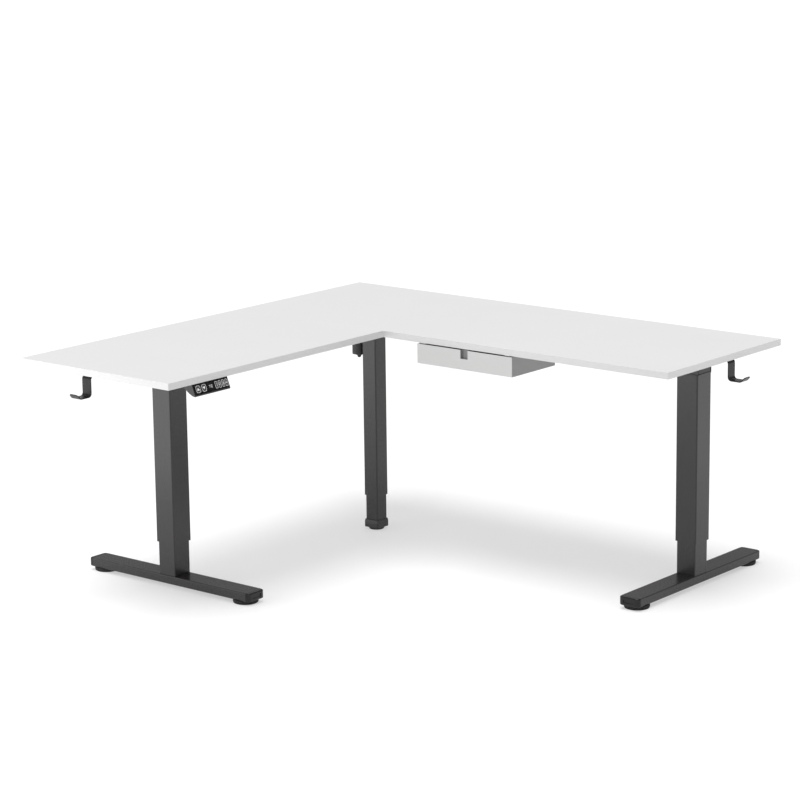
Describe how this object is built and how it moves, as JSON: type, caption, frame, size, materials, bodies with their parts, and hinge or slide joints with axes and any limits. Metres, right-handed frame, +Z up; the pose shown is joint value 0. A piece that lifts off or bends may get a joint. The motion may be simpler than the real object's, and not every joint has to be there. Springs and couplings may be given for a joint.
{
  "type": "standing desk",
  "caption": "L-shaped height adjustable desk with telescoping columns, T feet, an under-board drawer, hooks and a control handset.",
  "frame": {"origin": "on the floor, on the axis of the corner leg, with the desk at its lowest", "axes": "+X along the right wing, -Y along the left wing, +Z up; the user sits on the +X -Y side"},
  "size_m": [1.718, 1.618, 0.71],
  "materials": {
    "laminate": "white satin melamine",
    "edge": "white satin",
    "frame_paint": "charcoal powder coat",
    "fastener": "zinc plated",
    "black_fastener": "black oxide",
    "screw_steel": "ground",
    "motor_can": "satin black",
    "black_plastic": "fine texture",
    "nylon": "smooth ivory",
    "drawer_paint": "white powder coat",
    "guide_steel": "galvanised",
    "handset_body": "fine texture",
    "handset_face": "semi gloss",
    "display_window": "clear gloss over black",
    "key_plastic": "satin",
    "hook_paint": "powder coat",
    "cap_plastic": "glossy",
    "pad_rubber": "moulded"
  },
  "bodies": {
    "desktop": {"main_board": "laminate", "return_board": "laminate", "edge_bands": "edge", "seam_plates": "frame_paint", "wood_screws": "fastener", "left_outer_tube": "frame_paint", "right_outer_tube": "frame_paint", "corner_outer_tube": "frame_paint", "left_head": "frame_paint", "right_head": "frame_paint", "corner_head": "frame_paint", "left_rails": "frame_paint", "right_rails": "frame_paint", "frame_bolts": "black_fastener", "left_gearbox": "motor_can", "right_gearbox": "motor_can", "corner_gearbox": "motor_can", "left_motor": "motor_can", "right_motor": "motor_can", "corner_motor": "motor_can", "motor_cover": "black_plastic", "screw_bearings": "screw_steel", "tube_glides": "nylon", "control_box": "black_plastic", "control_box_lid": "black_plastic", "handset_shell": "handset_body", "handset_fascia": "handset_face", "handset_display": "display_window", "left_hook": "hook_paint", "right_hook": "hook_paint", "drawer_guides": "guide_steel"},
    "left_leg": {"left_inner_tube": "frame_paint", "left_foot_beam": "frame_paint", "left_end_caps": "cap_plastic", "left_nut": "nylon", "left_foot_bolts": "fastener"},
    "right_leg": {"right_inner_tube": "frame_paint", "right_foot_beam": "frame_paint", "right_end_caps": "cap_plastic", "right_nut": "nylon", "right_foot_bolts": "fastener"},
    "corner_leg": {"corner_inner_tube": "frame_paint", "corner_foot": "frame_paint", "corner_nut": "nylon"},
    "left_lead_screw": {"left_screw": "screw_steel"},
    "right_lead_screw": {"right_screw": "screw_steel"},
    "corner_lead_screw": {"corner_screw": "screw_steel"},
    "drawer": {"drawer_tray": "drawer_paint", "drawer_glides": "nylon"},
    "button_up": {"key_up": "key_plastic"},
    "button_down": {"key_down": "key_plastic"},
    "button_one": {"key_one": "key_plastic"},
    "button_two": {"key_two": "key_plastic"},
    "button_three": {"key_three": "key_plastic"},
    "button_memory": {"key_memory": "key_plastic"},
    "left_front_leveller": {"left_front_pad": "pad_rubber"},
    "left_back_leveller": {"left_back_pad": "pad_rubber"},
    "right_front_leveller": {"right_front_pad": "pad_rubber"},
    "right_back_leveller": {"right_back_pad": "pad_rubber"},
    "corner_leveller": {"corner_pad": "pad_rubber"}
  },
  "joints": [
    {"name": "left_lift", "type": "slide", "parent": "desktop", "child": "left_leg", "axis": [0, 0, -1], "range_m": [0, 0.43]},
    {"name": "right_lift", "type": "slide", "parent": "desktop", "child": "right_leg", "axis": [0, 0, -1], "range_m": [0, 0.43]},
    {"name": "corner_lift", "type": "slide", "parent": "desktop", "child": "corner_leg", "axis": [0, 0, -1], "range_m": [0, 0.43]},
    {"name": "left_screw_turn", "type": "hinge", "parent": "desktop", "child": "left_lead_screw", "pos_m": [-0.07, -0.86, 0.4], "axis": [0, 0, 1], "range_deg": [0, 19360]},
    {"name": "right_screw_turn", "type": "hinge", "parent": "desktop", "child": "right_lead_screw", "pos_m": [1.16, 0.07, 0.4], "axis": [0, 0, 1], "range_deg": [0, 19360]},
    {"name": "corner_screw_turn", "type": "hinge", "parent": "desktop", "child": "corner_lead_screw", "pos_m": [0, 0, 0.4], "axis": [0, 0, 1], "range_deg": [0, 19360]},
    {"name": "drawer_slide", "type": "slide", "parent": "desktop", "child": "drawer", "axis": [0, -1, 0], "range_m": [0, 0.165]},
    {"name": "press_up", "type": "slide", "parent": "desktop", "child": "button_up", "axis": [-0.9272, 0, -0.3746], "range_m": [0, 0.0008], "stiffness_N_per_m": 1500, "springref_m": -0.0008},
    {"name": "press_down", "type": "slide", "parent": "desktop", "child": "button_down", "axis": [-0.9272, 0, -0.3746], "range_m": [0, 0.0008], "stiffness_N_per_m": 1500, "springref_m": -0.0008},
    {"name": "press_one", "type": "slide", "parent": "desktop", "child": "button_one", "axis": [-0.9272, 0, -0.3746], "range_m": [0, 0.0008], "stiffness_N_per_m": 1500, "springref_m": -0.0008},
    {"name": "press_two", "type": "slide", "parent": "desktop", "child": "button_two", "axis": [-0.9272, 0, -0.3746], "range_m": [0, 0.0008], "stiffness_N_per_m": 1500, "springref_m": -0.0008},
    {"name": "press_three", "type": "slide", "parent": "desktop", "child": "button_three", "axis": [-0.9272, 0, -0.3746], "range_m": [0, 0.0008], "stiffness_N_per_m": 1500, "springref_m": -0.0008},
    {"name": "press_memory", "type": "slide", "parent": "desktop", "child": "button_memory", "axis": [-0.9272, 0, -0.3746], "range_m": [0, 0.0008], "stiffness_N_per_m": 1500, "springref_m": -0.0008},
    {"name": "left_front_level", "type": "slide", "parent": "left_leg", "child": "left_front_leveller", "axis": [0, 0, -1], "range_m": [0, 0.008]},
    {"name": "left_back_level", "type": "slide", "parent": "left_leg", "child": "left_back_leveller", "axis": [0, 0, -1], "range_m": [0, 0.008]},
    {"name": "right_front_level", "type": "slide", "parent": "right_leg", "child": "right_front_leveller", "axis": [0, 0, -1], "range_m": [0, 0.008]},
    {"name": "right_back_level", "type": "slide", "parent": "right_leg", "child": "right_back_leveller", "axis": [0, 0, -1], "range_m": [0, 0.008]},
    {"name": "corner_level", "type": "slide", "parent": "corner_leg", "child": "corner_leveller", "axis": [0, 0, -1], "range_m": [0, 0.008]}
  ],
  "couplings": [
    {"joint": "right_lift", "follows": "left_lift", "ratio": 1},
    {"joint": "corner_lift", "follows": "left_lift", "ratio": 1},
    {"joint": "left_screw_turn", "follows": "left_lift", "rad_per_m": 785.4},
    {"joint": "right_screw_turn", "follows": "left_lift", "rad_per_m": 785.4},
    {"joint": "corner_screw_turn", "follows": "left_lift", "rad_per_m": 785.4}
  ]
}
